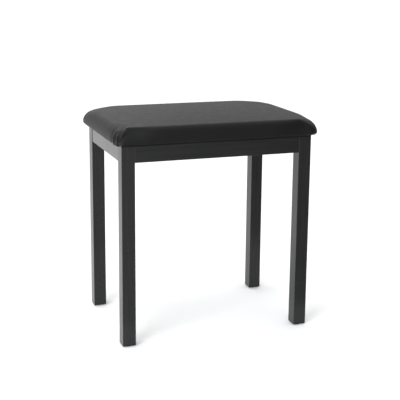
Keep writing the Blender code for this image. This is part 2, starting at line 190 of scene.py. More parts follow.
# The room's brightness. In front it goes by the direction's x: up from ROOM_BACK at the far left to
# ROOM_FRONT_LEFT over LEFT_RAMP, and down to ROOM_FRONT_RIGHT over RIGHT_RAMP. Behind it is at least
# ROOM_BACK, which comes in over BACK_RAMP of y, and ROOM_OVERHEAD is added over OVERHEAD_RAMP of z. The
# camera sees BACKDROP.
ROOM_BACK = 0.69
ROOM_FRONT_LEFT = 1.05
ROOM_FRONT_RIGHT = 0.33
ROOM_OVERHEAD = 0.90
BACK_RAMP = (-0.5, 0.3)
LEFT_RAMP = (-0.7, 0.0)
RIGHT_RAMP = (0.2, 0.42)
OVERHEAD_RAMP = (0.40, 1.0)
BACKDROP = 1.1

# The floor ends this far in front of the bench's middle, and reaches this far on the other sides
FLOOR_FRONT = 0.27
FLOOR_HALF = 30.0

# Painted shadow close under the seat: there the lacquer's sheen falls, from all of it at the first height to a
# share at the second, so the tops of legs and aprons look shaded by the seat
PAINTED_SHADOW_FROM = 0.4518
PAINTED_SHADOW_TO = 0.4534
PAINTED_SHADOW_SHARE = 0.12


# Meshes


def mesh_from(name, points, faces):
    mesh = bpy.data.meshes.new(name)
    mesh.from_pydata([tuple(point) for point in points], [], faces)
    mesh.validate()
    mesh.update()
    return mesh


def rings_to_faces(ring_count, around, closed=False):
    """Quads between rings of the same number of points; closed joins the last ring to the first."""
    faces = []
    for ring in range(ring_count if closed else ring_count - 1):
        start = ring * around
        after = (ring + 1) % ring_count * around
        for step in range(around):
            following = (step + 1) % around
            faces.append((start + step, start + following, after + following, after + step))
    return faces


def capped_faces(ring_count, around):
    """Quads between rings of the same number of points, and a face over each end."""
    caps = [tuple(reversed(range(around))), tuple(range((ring_count - 1) * around, ring_count * around))]
    return rings_to_faces(ring_count, around) + caps


def smooth_rounds(mesh, angle):
    """Smooth shading, with edges kept sharp where the faces turn by more than the angle."""
    mesh.shade_smooth()
    mesh.set_sharp_from_angle(angle=math.radians(angle))


def rings_mesh(name, rings, sharp, closed=False):
    """A solid through rings of as many points each: closed as a torus is, or capped at both ends."""
    around = len(rings[0])
    count = len(rings)
    faces = rings_to_faces(count, around, closed=True) if closed else capped_faces(count, around)
    mesh = mesh_from(name, [point for points in rings for point in points], faces)
    smooth_rounds(mesh, sharp)
    return mesh


def circle(radius, height, sides):
    """Points round Z."""
    turns = [2 * math.pi * side / sides for side in range(sides)]
    return [(radius * math.cos(turn), radius * math.sin(turn), height) for turn in turns]


def turned(name, profile, sides=48):
    """A solid turned about Z, from the (radius, height) points of its outer side, lowest first."""
    return rings_mesh(name, [circle(radius, height, sides) for radius, height in profile], sharp=35)


def new_object(name, data):
    obj = bpy.data.objects.new(name, data)
    bpy.context.scene.collection.objects.link(obj)
    return obj


def make_piece(name, mesh, material, replaced):
    """A piece of the object with its material and slot, in place of the CAD nodes that it replaces."""
    piece = new_object(name, mesh)
    if not mesh.materials:
        mesh.materials.append(material)
    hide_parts(*replaced)
    return piece


def aim(obj, place, direction, axis="Z"):
    """Moves the object's origin to the place and turns that axis of its own to the direction."""
    obj.location = place
    obj.rotation_mode = "QUATERNION"
    obj.rotation_quaternion = Vector(direction).to_track_quat(axis, "Y")


def thicken(piece, thickness, offset):
    skin = piece.modifiers.new("skin", "SOLIDIFY")
    skin.thickness = thickness
    skin.offset = offset


# Materials. Texture coordinates are the objects' own, in metres. In the lacquer, height is above the floor.

# The darker and the paler colour of the lacquered wood's figure
BLACK = ((0.0070, 0.0070, 0.0073), (0.0110, 0.0108, 0.0106))
# The short aprons' figure, paler and warmer than the same lacquer elsewhere: a painted warm reflection
WARM_BLACK_PAINTED_REFLECTION = ((0.0145, 0.0128, 0.0118), (0.0300, 0.0250, 0.0220))


def add_node(tree, kind, inputs=None, **settings):
    """A ShaderNode of that kind; an input given as a socket is linked, and any other value is set."""
    node = tree.nodes.new("ShaderNode" + kind)
    for name, value in settings.items():
        setattr(node, name, value)
    for name, value in (inputs or {}).items():
        if isinstance(value, bpy.types.NodeSocket):
            tree.links.new(value, node.inputs[name])
        else:
            node.inputs[name].default_value = value
    return node


def new_material(name, **constants):
    """A material, its node tree and its Principled BSDF, with constants set on the shader's sockets."""
    material = bpy.data.materials.new(name)
    material.use_nodes = True
    tree = material.node_tree
    shader = tree.nodes["Principled BSDF"]
    for socket, value in constants.items():
        shader.inputs[socket.replace("_", " ")].default_value = value
    return material, tree, shader


def object_coordinates(tree, stretch=(1, 1, 1)):
    coordinates = add_node(tree, "TexCoord").outputs["Object"]
    mapping = add_node(tree, "Mapping", {"Vector": coordinates, "Scale": stretch})
    return mapping.outputs["Vector"]


def noise(tree, vector, scale, detail=3, roughness=0.5):
    inputs = {"Vector": vector, "Scale": scale, "Detail": detail, "Roughness": roughness}
    return add_node(tree, "TexNoise", inputs).outputs["Fac"]


def remap(tree, value, low, high, from_low=0.3, from_high=0.7):
    """The value, stretched from its own range to the range low to high, and clamped."""
    inputs = {"Value": value, "From Min": from_low, "From Max": from_high, "To Min": low, "To Max": high}
    return add_node(tree, "MapRange", inputs).outputs["Result"]


def mix_colour(tree, share, first, second):
    """Blends two colours, each a socket or three numbers."""
    node = add_node(tree, "Mix", {"Factor": share}, data_type="RGBA")
    for index, colour in ((6, first), (7, second)):
        if isinstance(colour, bpy.types.NodeSocket):
            tree.links.new(colour, node.inputs[index])
        else:
            node.inputs[index].default_value = (*colour, 1)
    return node.outputs[2]


def math_node(tree, operation, first, second=0.0):
    return add_node(tree, "Math", {0: first, 1: second}, operation=operation).outputs[0]


def bumps(tree, *layers):
    """A normal with bumps laid over each other, each given as (height, distance, strength)."""
    normal = None
    for height, distance, strength in layers:
        inputs = {"Height": height, "Distance": distance, "Strength": strength}
        if normal:
            inputs["Normal"] = normal
        normal = add_node(tree, "Bump", inputs).outputs["Normal"]
    return normal


def finish_material(tree, shader, colour, roughness, normal):
    tree.links.new(colour, shader.inputs["Base Color"])
    tree.links.new(roughness, shader.inputs["Roughness"])
    tree.links.new(normal, shader.inputs["Normal"])


def edge_nearness(tree, size, width):
    """1 on the edges of a box-shaped piece of that size, falling to 0 at width from them."""
    generated = add_node(tree, "TexCoord").outputs["Generated"]
    axes = add_node(tree, "SeparateXYZ", {"Vector": generated}).outputs
    from_faces = []
    for axis, length in zip("XYZ", size):
        from_middle = math_node(tree, "ABSOLUTE", math_node(tree, "SUBTRACT", axes[axis], 0.5))
        share = math_node(tree, "SUBTRACT", 0.5, from_middle)
        from_faces.append(math_node(tree, "MULTIPLY", share, length))
    x, y, z = from_faces
    # The smallest of the three is the face itself, and the middle one is the way to the nearest edge.
    lower = math_node(tree, "MINIMUM", x, y)
    upper = math_node(tree, "MAXIMUM", x, y)
    middle = math_node(tree, "MAXIMUM", lower, math_node(tree, "MINIMUM", upper, z))
    return remap(tree, middle, 1.0, 0.0, 0.0, width)


def lacquer(name, grain, size, rough, sheen, dark, pale):
    """Satin lacquer on wood of that size: grain is the axis its pores run along, rough its usual roughness,
    sheen how much it reflects."""
    material, tree, shader = new_material(name)
    position = add_node(tree, "NewGeometry").outputs["Position"]
    height = add_node(tree, "SeparateXYZ", {"Vector": position}).outputs["Z"]
    # Painted shadow: the sheen falls close under the seat, where the seat's shadow would lie
    sheen_with_painted_shadow = remap(tree, height, sheen, sheen * PAINTED_SHADOW_SHARE, PAINTED_SHADOW_FROM, PAINTED_SHADOW_TO)
    tree.links.new(sheen_with_painted_shadow, shader.inputs["Specular IOR Level"])
    along = tuple(0.035 if axis == grain else 1 for axis in "XYZ")
    streaks = object_coordinates(tree, along)
    place = object_coordinates(tree)
    pores = noise(tree, streaks, 1500, detail=2)
    figure = noise(tree, streaks, 220, detail=4)
    patches = noise(tree, place, 14, detail=2)
    dust = noise(tree, place, 95, detail=6, roughness=0.65)
    # Paler, rougher edges: partly the thin lacquer on the arrises, partly a painted highlight along the edges
    wear_and_painted_highlight = math_node(tree, "MULTIPLY", edge_nearness(tree, size, 0.0014), remap(tree, dust, 0.2, 1.0))
    tone = mix_colour(tree, remap(tree, figure, 0, 1), dark, pale)
    colour = mix_colour(tree, math_node(tree, "MULTIPLY", wear_and_painted_highlight, 0.5), tone, (0.030, 0.029, 0.028))
    varied = math_node(tree, "ADD", remap(tree, patches, -0.03, 0.03), remap(tree, dust, -0.025, 0.035))
    varied = math_node(tree, "ADD", varied, math_node(tree, "MULTIPLY", wear_and_painted_highlight, 0.12))
    roughness = math_node(tree, "ADD", varied, rough)
    peel = noise(tree, place, 420, detail=1)
    normal = bumps(tree, (pores, 0.00006, 0.5), (figure, 0.00012, 0.35), (peel, 0.00010, 0.30))
    finish_material(tree, shader, colour, roughness, normal)
    return material


def black_vinyl():
    """Leathercloth with a fine pressed grain: pebbles a millimetre across, with creases between them."""
    material, tree, shader = new_material("black_vinyl", Specular_IOR_Level=0.19)
    place = object_coordinates(tree)
    warp = noise(tree, place, 260, detail=2)
    offset = add_node(tree, "VectorMath", {0: warp, 1: (0.0006, 0.0006, 0.0006)},
                      operation="MULTIPLY")
    bent = add_node(tree, "VectorMath", {0: place, 1: offset.outputs[0]}, operation="ADD")
    grain = add_node(tree, "TexVoronoi", {"Vector": bent.outputs[0], "Scale": 900},
                     feature="DISTANCE_TO_EDGE").outputs["Distance"]
    creases = remap(tree, grain, 0, 1, 0.0, 0.22)
    fine = noise(tree, place, 3800, detail=2)
    broad = noise(tree, place, 24, detail=3)
    rubbed = noise(tree, place, 70, detail=5, roughness=0.6)
    tone = mix_colour(tree, remap(tree, broad, 0, 1), (0.0031, 0.0031, 0.0030), (0.0044, 0.0043, 0.0041))
    # The creases between the pebbles are painted darker: painted shade in the grain's hollows
    colour = mix_colour(tree, creases, (0.0030, 0.0030, 0.0029), tone)
    rough_creases = remap(tree, creases, 0.06, 0.0, 0, 1)
    roughness = math_node(tree, "ADD", remap(tree, rubbed, 0.40, 0.47), rough_creases)
    normal = bumps(tree, (fine, 0.00005, 0.35), (creases, 0.00010, 0.45), (broad, 0.0008, 0.25))
    finish_material(tree, shader, colour, roughness, normal)
    return material


def zinc_plate():
    """Bright zinc on rolled steel: faint rolling marks, a cloudy passivation and darker spots."""
    material, tree, shader = new_material("zinc_plate", Metallic=1.0)
    place = object_coordinates(tree)
    rolled = noise(tree, object_coordinates(tree, (1, 1, 0.05)), 1800, detail=3)
    cloud = noise(tree, place, 130, detail=5, roughness=0.6)
    spots = noise(tree, place, 620, detail=4, roughness=0.7)
    tone = mix_colour(tree, remap(tree, cloud, 0, 1), (0.50, 0.52, 0.56), (0.66, 0.66, 0.63))
    colour = mix_colour(tree, remap(tree, spots, 0, 0.45, 0.52, 0.75), tone, (0.30, 0.30, 0.31))
    roughness = math_node(tree, "ADD", remap(tree, cloud, 0.26, 0.40), remap(tree, spots, 0, 0.12))
    normal = bumps(tree, (rolled, 0.00004, 0.4), (spots, 0.00006, 0.3))
    finish_material(tree, shader, colour, roughness, normal)
    return material


def black_nylon():
    """Moulded nylon with a spark-eroded texture, scuffed paler where it slides on the floor."""
    material, tree, shader = new_material("black_nylon", Specular_IOR_Level=0.5)
    place = object_coordinates(tree)
    texture = noise(tree, place, 2600, detail=3)
    scuffs = noise(tree, object_coordinates(tree, (1, 0.12, 1)), 1400, detail=4, roughness=0.7)
    scuffed = remap(tree, scuffs, 0, 1, 0.55, 0.8)
    colour = mix_colour(tree, scuffed, (0.016, 0.016, 0.017), (0.06, 0.06, 0.058))
    roughness = remap(tree, texture, 0.42, 0.62)
    normal = bumps(tree, (texture, 0.00008, 0.5))
    finish_material(tree, shader, colour, roughness, normal)
    return material


def non_woven():
    """Spun-bonded sheet: fibres lying every way, welded together at a close grid of pressed points."""
    material, tree, shader = new_material("non_woven", Sheen_Weight=0.25, Sheen_Roughness=0.6)
    place = object_coordinates(tree)
    fibres = None
    for turn, scale in ((0.3, 2300), (1.2, 2600), (2.1, 2450), (2.8, 2200)):
        turned_place = add_node(tree, "Mapping", {"Vector": place, "Rotation": (0, 0, turn)})
        long_way = add_node(tree, "Mapping",
                            {"Vector": turned_place.outputs["Vector"], "Scale": (0.06, 1, 1)})
        strand = noise(tree, long_way.outputs["Vector"], scale, detail=2)
        fibres = strand if fibres is None else math_node(tree, "MAXIMUM", fibres, strand)
    welds = add_node(tree, "TexVoronoi", {"Vector": place, "Scale": 420, "Randomness": 0.0})
    pressed = remap(tree, welds.outputs["Distance"], 0, 1, 0.22, 0.32)
    matted = remap(tree, fibres, 0, 1, 0.5, 0.75)
    cloudy = noise(tree, place, 55, detail=4)
    tone = mix_colour(tree, matted, (0.008, 0.008, 0.009), (0.034, 0.034, 0.036))
    colour = mix_colour(tree, remap(tree, cloudy, 0, 0.4), tone, (0.014, 0.014, 0.015))
    roughness = remap(tree, pressed, 0.55, 0.95, 0, 1)
    normal = bumps(tree, (matted, 0.00015, 0.7), (pressed, 0.00020, 0.6))
    finish_material(tree, shader, colour, roughness, normal)
    return material


def bare_wood(name, grain, pale, dark, ply=None):
    """Sawn or peeled wood with its grain along one axis; ply is the plies' thickness where edges show."""
    material, tree, shader = new_material(name, Specular_IOR_Level=0.3)
    along = tuple(0.05 if axis == grain else 1 for axis in "XYZ")
    streaks = object_coordinates(tree, along)
    waves = {"Vector": streaks, "Scale": 60, "Distortion": 7, "Detail": 3}
    rings = add_node(tree, "TexWave", waves, wave_type="RINGS").outputs["Fac"]
    fibres = noise(tree, streaks, 1300, detail=4, roughness=0.6)
    saw_marks = noise(tree, object_coordinates(tree, (1, 1, 0.02)), 700, detail=2)
    colour = mix_colour(tree, remap(tree, rings, 0, 1, 0.2, 0.9), pale, dark)
    colour = mix_colour(tree, remap(tree, fibres, 0, 0.45, 0.45, 0.75), colour, dark)
    if ply:
        height = add_node(tree, "SeparateXYZ", {"Vector": object_coordinates(tree)}).outputs["Z"]
        layer = math_node(tree, "FRACT", math_node(tree, "DIVIDE", height, 2 * ply))
        banded = math_node(tree, "GREATER_THAN", layer, 0.5)
        colour = mix_colour(tree, math_node(tree, "MULTIPLY", banded, 0.35), colour, dark)
    roughness = remap(tree, fibres, 0.62, 0.85)
    normal = bumps(tree, (fibres, 0.00015, 0.6), (saw_marks, 0.00020, 0.35))
    finish_material(tree, shader, colour, roughness, normal)
    return material


def open_foam():
    """Cut polyurethane foam: open cells about a millimetre across, a little yellowed."""
    material, tree, shader = new_material("open_foam", Specular_IOR_Level=0.2)
    place = object_coordinates(tree)
    cells = add_node(tree, "TexVoronoi", {"Vector": place, "Scale": 1100}).outputs["Distance"]
    cloud = noise(tree, place, 30, detail=3)
    tone = mix_colour(tree, remap(tree, cloud, 0, 1), (0.74, 0.66, 0.40), (0.80, 0.74, 0.52))
    # The cells' hollows are painted darker: painted shade
    colour = mix_colour(tree, remap(tree, cells, 0, 0.6, 0.1, 0.6), (0.35, 0.29, 0.15), tone)
    roughness = remap(tree, cells, 0.85, 1.0, 0, 0.6)
    finish_material(tree, shader, colour, roughness, bumps(tree, (cells, 0.0004, 0.8)))
    return material


# Seat cover


def smooth_step(value):
    value = np.clip(value, 0, 1)
    return value * value * (3 - 2 * value)


def spaced(steps):
    """Shares from -1 up to 1, without the last, closer together towards both ends."""
    spread = 0.4 * math.pi
    turns = np.linspace(-spread, spread, steps, endpoint=False)
    return np.sin(turns) / math.sin(spread)


class Outline:
    """The seat's outline in plan, point by point, anticlockwise from the front-left corner's middle."""

    def __init__(self, half_x, half_y):
        self.half = np.array([half_x, half_y])
        facing, along, share, angle, reach, radius = [], [], [], [], [], []
        for side in range(4):
            steps = LONG_SIDE_STEPS if side % 2 == 0 else SHORT_SIDE_STEPS
            quarter = np.linspace(0, math.pi / 4, CORNER_STEPS, endpoint=False)
            share += [*(-np.ones(CORNER_STEPS)), *spaced(steps), *np.ones(CORNER_STEPS)]
            angle += [*(quarter - math.pi / 4), *np.zeros(steps), *quarter]
            count = steps + 2 * CORNER_STEPS
            facing += [side * math.pi / 2] * count
            along += [side % 2] * count
            radii = (CORNER_RADII[side], CORNER_RADII[(side + 1) % 4])
            reach += [*np.interp(share[-count:], (-1, 1), CORNER_REACHES[side])]
            radius += [*np.interp(share[-count:], (-1, 1), radii)]
        self.facing, self.share, self.angle = np.array(facing), np.array(share), np.array(angle)
        self.along, self.reach, self.radius = np.array(along), np.array(reach), np.array(radius)
        self.way, self.corner = self.from_corner(self.points(0.0))

    def points(self, inset):
        """The outline moved in by the inset: one number, or one for each point."""
        half_along = self.half[self.along] - inset
        half_across = self.half[1 - self.along] - inset
        radius = self.radius * (1 - inset / self.half[1])
        x = self.share * (half_along - radius) + radius * np.sin(self.angle)
        y = -(half_across - radius) - radius * np.cos(self.angle)
        cos, sin = np.cos(self.facing), np.sin(self.facing)
        return np.column_stack([x * cos - y * sin, x * sin + y * cos])

    def from_corner(self, points):
        """The way along the outline from the nearest corner's middle, below 0 before it, and its number."""
        travelled = np.cumsum(np.linalg.norm(points - np.roll(points, 1, axis=0), axis=1))
        total = travelled[-1]
        starts = np.flatnonzero((self.angle < 0) & (np.roll(self.angle, 1) >= 0))
        ways = travelled[:, None] - travelled[starts][None, :]
        ways = (ways + total / 2) % total - total / 2
        nearest = np.abs(ways).argmin(axis=1)
        return ways[np.arange(len(points)), nearest], nearest


def wall_and_edge(wall, lean, width, height, shares):
    """(inset, rise) at those shares of the way up a wall, over the quarter ellipse and in to the top."""
    turns = np.linspace(0, math.pi / 2, ELLIPSE_STEPS)
    inset = np.concatenate([[0], lean + (width - lean) * (1 - np.cos(turns)), [TOP_INSET]])
    rise = np.concatenate([[0], wall + (height - wall) * np.sin(turns), [height]])
    length = np.concatenate([[0], np.cumsum(np.hypot(np.diff(inset), np.diff(rise)))])
    return np.interp(shares * length[-1], length, inset), np.interp(shares * length[-1], length, rise)


def crown(plan, points):
    """How far the top stands above its edges at those points."""
    across, deep = (points[..., :2] / plan.half).transpose(-1, *range(points.ndim - 1))
    return CROWN_RISE * (1 - across**2) * (1 - deep**2)


def seat_rings(plan, low, high):
    """The cover's rings, from its free edge below to the edge of the top, in one array (ring, point, 3)."""
    rings = []
    under = [(RIM_INSET + (TURN_UNDER_WIDTH - RIM_INSET) * ring / RIM_RINGS, low)
             for ring in range(RIM_RINGS)]
    for ring in range(TURN_UNDER_RINGS):
        turn = math.pi / 2 * ring / TURN_UNDER_RINGS
        height = low + TURN_UNDER_HEIGHT * (1 - math.cos(turn))
        under.append((TURN_UNDER_WIDTH * (1 - math.sin(turn)), height))
    for inset, height in under:
        points = plan.points(inset)
        rings.append(np.column_stack([points, np.full(len(points), height)]))

    widest = low + TURN_UNDER_HEIGHT
    top = high - CROWN_RISE - widest
    corner = smooth_step(1 - np.abs(plan.way) / plan.reach)
    walls = np.where(plan.along, SHORT_SIDE_WALL, LONG_SIDE_WALL) * (1 - corner) + CORNER_WALL * corner
    edges = np.where(plan.along, SHORT_SIDE_EDGE, LONG_SIDE_EDGE) * (1 - corner) + CORNER_EDGE * corner
    shares = np.linspace(0, 1, WALL_RINGS)
    leans = WALL_LEAN * walls * smooth_step(1 - np.abs(plan.way) / LEAN_REACH) * (plan.along == 0)
    sections = np.array([wall_and_edge(*each, top, shares) for each in zip(walls, leans, edges)])
    for inset, rise in sections.transpose(2, 1, 0):
        points = plan.points(inset)
        height = widest + rise + crown(plan, points) * (rise / top) ** 2
        rings.append(np.column_stack([points, height]))
    return np.array(rings)


def top_grid(plan, edge, high):
    """The top inside its edge: a grid of points (x, y, 3) blended from its four sides, with a low crown."""
    across = LONG_SIDE_STEPS + 2 * CORNER_STEPS
    deep = SHORT_SIDE_STEPS + 2 * CORNER_STEPS
    loop = np.vstack([edge, edge[:1]])
    front = loop[: across + 1]
    right = loop[across : across + deep + 1]
    back = loop[across + deep : 2 * across + deep + 1][::-1]
    left = loop[2 * across + deep :][::-1]
    u = ((front[:, 0] - front[0, 0]) / (front[-1, 0] - front[0, 0]))[:, None, None]
    v = ((right[:, 1] - right[0, 1]) / (right[-1, 1] - right[0, 1]))[None, :, None]
    grid = (1 - v) * front[:, None] + v * back[:, None] + (1 - u) * left[None] + u * right[None]
    front_corners = (1 - u) * (1 - v) * front[0] + u * (1 - v) * front[-1]
    grid = grid - (front_corners + (1 - u) * v * back[0] + u * v * back[-1])
    grid[..., 2] = high - CROWN_RISE + crown(plan, grid)
    return grid


def cover_mesh(plan, low, high):
    """The cover's mesh and its rings, whose points come first in it."""
    rings = seat_rings(plan, low, high)
    ring_count, around, _ = rings.shape
    grid = top_grid(plan, rings[-1], high)
    across, deep = grid.shape[0] - 1, grid.shape[1] - 1
    points = list(rings.reshape(-1, 3))
    number = -np.ones(grid.shape[:2], int)
    last = (ring_count - 1) * around
    border = [(i, 0) for i in range(across)] + [(across, j) for j in range(deep)]
    border += [(i, deep) for i in range(across, 0, -1)] + [(0, j) for j in range(deep, 0, -1)]
    for step, cell in enumerate(border):
        number[cell] = last + step
    for i in range(1, across):
        for j in range(1, deep):
            number[i, j] = len(points)
            points.append(grid[i, j])
    faces = rings_to_faces(ring_count, around)
    for i in range(across):
        for j in range(deep):
            faces.append((number[i, j], number[i + 1, j], number[i + 1, j + 1], number[i, j + 1]))
    faces = [tuple(int(index) for index in face) for face in faces]
    return mesh_from("seat_cover_vinyl", points, faces), rings


def from_fold(across, height, points):
    """How far each place is from the line through the points, above 0 to the right of it, and the share of
    the line's stretches that is passed at its nearest point."""
    place = np.stack(np.broadcast_arrays(across, height), axis=-1)
    line = np.array(points)
    nearest = np.full(place.shape[:-1], np.inf)
    signed, share = nearest.copy(), nearest.copy()
    for number, (start, end) in enumerate(zip(line[:-1], line[1:])):
        step = end - start
        along = np.clip((place - start) @ step / (step @ step), 0, 1)
        offset = place - start - along[..., None] * step
        distance = np.linalg.norm(offset, axis=-1)
        closer = distance < nearest
        right = np.sign(offset[..., 0] * step[1] - offset[..., 1] * step[0])
        nearest = np.where(closer, distance, nearest)
        signed = np.where(closer, distance * right, signed)
        share = np.where(closer, (number + along) / (len(line) - 1), share)
    return signed, share


def fold_depth(plan, climb):
    """How far the vinyl stands out (above 0) or in, where the climb is 0 at the rim's outer edge and 1 at the
    top. The long sides' vinyl is folded over the corners onto the short sides."""
    shift = FOLD_SHIFT * np.sin(FOLD_SHIFT_TURN * plan.corner)
    mirrored = np.where(plan.corner % 2 == 0, plan.way, -plan.way) + shift
    depth = 0.0
    for most, inner, outer, points in FOLDS:
        signed, share = from_fold(mirrored, climb * FOLD_SCALE, points)
        width = np.where(signed > 0, inner, outer)
        bell = np.exp(-((signed / width) ** 2))
        depth = depth + most * bell * smooth_step((1 - share) / FOLD_FADE)
    depth = depth * np.array(FOLD_SHARES)[plan.corner]
    near = smooth_step(1 - np.abs(plan.way) / GATHER_REACH)
    low = smooth_step((GATHER_CLIMB - climb) / GATHER_CLIMB)
    return depth + GATHER_DEPTH * near * low * np.cos(2 * math.pi * plan.way / GATHER_PITCH)


def fold_corners(points, plan, rings):
    """Moves the rings' points along their normals into the folds and gathers of each corner."""
    ring_count, around, _ = rings.shape
    shell = points[: ring_count * around].reshape(ring_count, around, 3)
    ahead = np.roll(shell, -1, axis=1) - np.roll(shell, 1, axis=1)
    up = np.gradient(shell, axis=0)
    outward = np.cross(ahead, up)
    outward /= np.maximum(np.linalg.norm(outward, axis=2), 1e-9)[..., None]
    climb = (np.arange(ring_count) - RIM_RINGS)[:, None] / (ring_count - 1 - RIM_RINGS)
    depth = fold_depth(plan, climb) * smooth_step((climb - FOLD_START) / FOLD_START_OVER)
    shell += outward * depth[..., None]
    return points


def settle(cover, plan, rings):
    """Lets the folded cover settle over the foam by cloth simulation, and returns where its points come to
    rest. Its rim is held, the foam's support is a weak hold elsewhere, and there is slack at the corners."""
    points = np.array([vertex.co for vertex in cover.data.vertices])
    ring_count, around, _ = rings.shape
    bottom = points[:, 2].min()
    held = cover.vertex_groups.new(name="held")
    for index, height in enumerate(points[:, 2]):
        firmness = 1 - smooth_step((height - bottom - RIM_HELD) / RIM_TO_FOAM)
        held.add([index], float(FOAM_HOLD + (1 - FOAM_HOLD) * firmness), "REPLACE")
    slack = cover.vertex_groups.new(name="slack")
    for index in range(ring_count * around):
        weight = float(smooth_step(1 - abs(plan.way[index % around]) / SLACK_REACH))
        if weight > 0:
            slack.add([index], weight, "REPLACE")

    modifier = cover.modifiers.new("settle", "CLOTH")
    for name, value in CLOTH.items():
        setattr(modifier.settings, name, value)
    modifier.settings.effector_weights.gravity = 0
    modifier.collision_settings.use_collision = False
    modifier.collision_settings.use_self_collision = False
    modifier.point_cache.frame_start = 1
    modifier.point_cache.frame_end = LAST_FRAME
    for number in range(1, LAST_FRAME + 1):
        bpy.context.scene.frame_set(number)
    graph = bpy.context.evaluated_depsgraph_get()
    settled = np.array([vertex.co for vertex in cover.evaluated_get(graph).data.vertices])
    cover.modifiers.remove(modifier)
    bpy.context.scene.frame_set(1)
    moves = settled - points
    sizes = np.linalg.norm(moves, axis=1)
    moves *= np.minimum(1, MOST_MOVE / np.maximum(sizes, 1e-9))[:, None]
    cover.vertex_groups.clear()
    return points + moves


def keep_height(points, top):
    """Eases the upper half down or up, so that the crown ends at the seat's height."""
    middle = (points[:, 2].min() + top) / 2
    share = np.clip((points[:, 2] - middle) / (points[:, 2].max() - middle), 0, 1)
    points[:, 2] -= (points[:, 2].max() - top) * share
    return points


def move_points(mesh, points):
    mesh.vertices.foreach_set("co", points.astype(np.float32).ravel())
    mesh.update()


def make_cover(plan, vinyl):
    low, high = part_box("seat_cover")
    mesh, rings = cover_mesh(plan, low.z, high.z)
    cover = make_piece("seat_cover_vinyl", mesh, vinyl, ["seat_cover"])
    points = fold_corners(np.array([vertex.co for vertex in mesh.vertices]), plan, rings)
    move_points(mesh, points)
    points = settle(cover, plan, rings)
    points = keep_height(points, high.z)
    move_points(mesh, points)
    mesh.shade_smooth()
    subdivision = cover.modifiers.new("smooth", "SUBSURF")
    subdivision.levels = 1
    subdivision.render_levels = 1
    thicken(cover, VINYL_THICKNESS, -1)
    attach(cover, "root")
    return points, rings


def make_foam(plan, points, rings, foam):
    """The foam under the vinyl: its surface is a little inside the cover's, its underside is on the board."""
    low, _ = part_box("seat_foam")
    cover_low, cover_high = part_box("seat_cover")
    ring_count, around, _ = rings.shape
    heights = points[: ring_count * around, 2].reshape(ring_count, around).min(axis=1)
    first = int(np.argmax((heights > low.z + FOAM_FIRST_RING) & (np.arange(ring_count) > RIM_RINGS)))
    mesh, _ = cover_mesh(plan, cover_low.z, cover_high.z)
    mesh.name = "seat_foam_pad"
    move_points(mesh, points)
    bm = bmesh.new()
    bm.from_mesh(mesh)
    bm.verts.ensure_lookup_table()
    bm.normal_update()
    inset = VINYL_THICKNESS + 3 * GAP
    normals = [vertex.normal.copy() for vertex in bm.verts]
    for vertex, normal in zip(bm.verts, normals):
        vertex.co -= normal * inset
    bmesh.ops.delete(bm, geom=bm.verts[: first * around], context="VERTS")
    bm.verts.ensure_lookup_table()
    rim = bm.verts[:around]
    below = [bm.verts.new((vertex.co.x, vertex.co.y, low.z)) for vertex in rim]
    for index in range(around):
        after = (index + 1) % around
        bm.faces.new((below[index], below[after], rim[after], rim[index]))
    bm.faces.new(list(reversed(below)))
    bmesh.ops.recalc_face_normals(bm, faces=bm.faces)
    bm.to_mesh(mesh)
    bm.free()
    smooth_rounds(mesh, angle=50)
    pad = make_piece("seat_foam_pad", mesh, foam, ["seat_foam"])
    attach(pad, "root")


def wandering(along, across, waves, drift, drift_waves):
    """A wave along the sheet, which wanders with the place across it."""
    return math.sin(waves * along + drift * math.sin(drift_waves * across))


def make_dust_cover(cloth):
    """The sheet held flat under the board at its edges: inside them it sags a little and puckers."""
    low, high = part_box("dust_cover")
    length = high.x - low.x
    width = high.y - low.y
    steps_x, steps_y = SHEET_STEPS
    points = []
    for j in range(steps_y + 1):
        for i in range(steps_x + 1):
            u = i / steps_x
            v = j / steps_y
            from_edge = 4 * min(u * length, (1 - u) * length, v * width, (1 - v) * width)
            belly = -BELLY * smooth_step(from_edge / BELLY_OVER)
            waves = wandering(u, v, 38, 3, 5) * wandering(v, u, 29, 2, 7)
            sag = belly + PUCKER * waves * smooth_step((from_edge - PUCKER_START) / PUCKER_OVER)
            points.append((low.x + u * length, low.y + v * width, low.z + sag))
    row = steps_x + 1
    faces = []
    for j in range(steps_y):
        for i in range(steps_x):
            start = j * row + i
            faces.append((start, start + 1, start + row + 1, start + row))
    mesh = mesh_from("dust_cover_sheet", points, faces)
    mesh.shade_smooth()
    sheet = make_piece("dust_cover_sheet", mesh, cloth, ["dust_cover"])
    thicken(sheet, SHEET_THICKNESS, 1)
    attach(sheet, "root")


# Hardware


def threaded(name, stretches, sides=32):
    """A rod along Z with threads cut in it. Each stretch is (start, end, radius at start, radius at end,
    pitch, thread depth), with a pitch of 0 where it is plain."""
    rows = []
    for start, end, radius_from, radius_to, pitch, depth in stretches:
        steps = max(2, math.ceil((end - start) / (pitch / STEPS_PER_TURN))) if pitch else 2
        for step in range(steps + 1):
            share = step / steps
            z = start + (end - start) * share
            radius = radius_from + (radius_to - radius_from) * share
            turns_from_end = min(share * steps / STEPS_PER_TURN, (1 - share) * steps / STEPS_PER_TURN)
            run_out = min(1, turns_from_end) if pitch else 0
            row = []
            for side in range(sides):
                turn = 2 * math.pi * side / sides
                phase = (z / pitch - side / sides) % 1 if pitch else 0
                groove = depth * run_out * (1 - abs(2 * phase - 1)) if pitch else 0
                here = max(radius - groove, LEAST_RADIUS)
                row.append((here * math.cos(turn), here * math.sin(turn), z))
            # A stretch that starts where the one before it ends adds no second row there.
            if not rows or math.dist(row[0], rows[-1][0]) > SAME_PLACE:
                rows.append(row)
    return rings_mesh(name, rows, sharp=50)


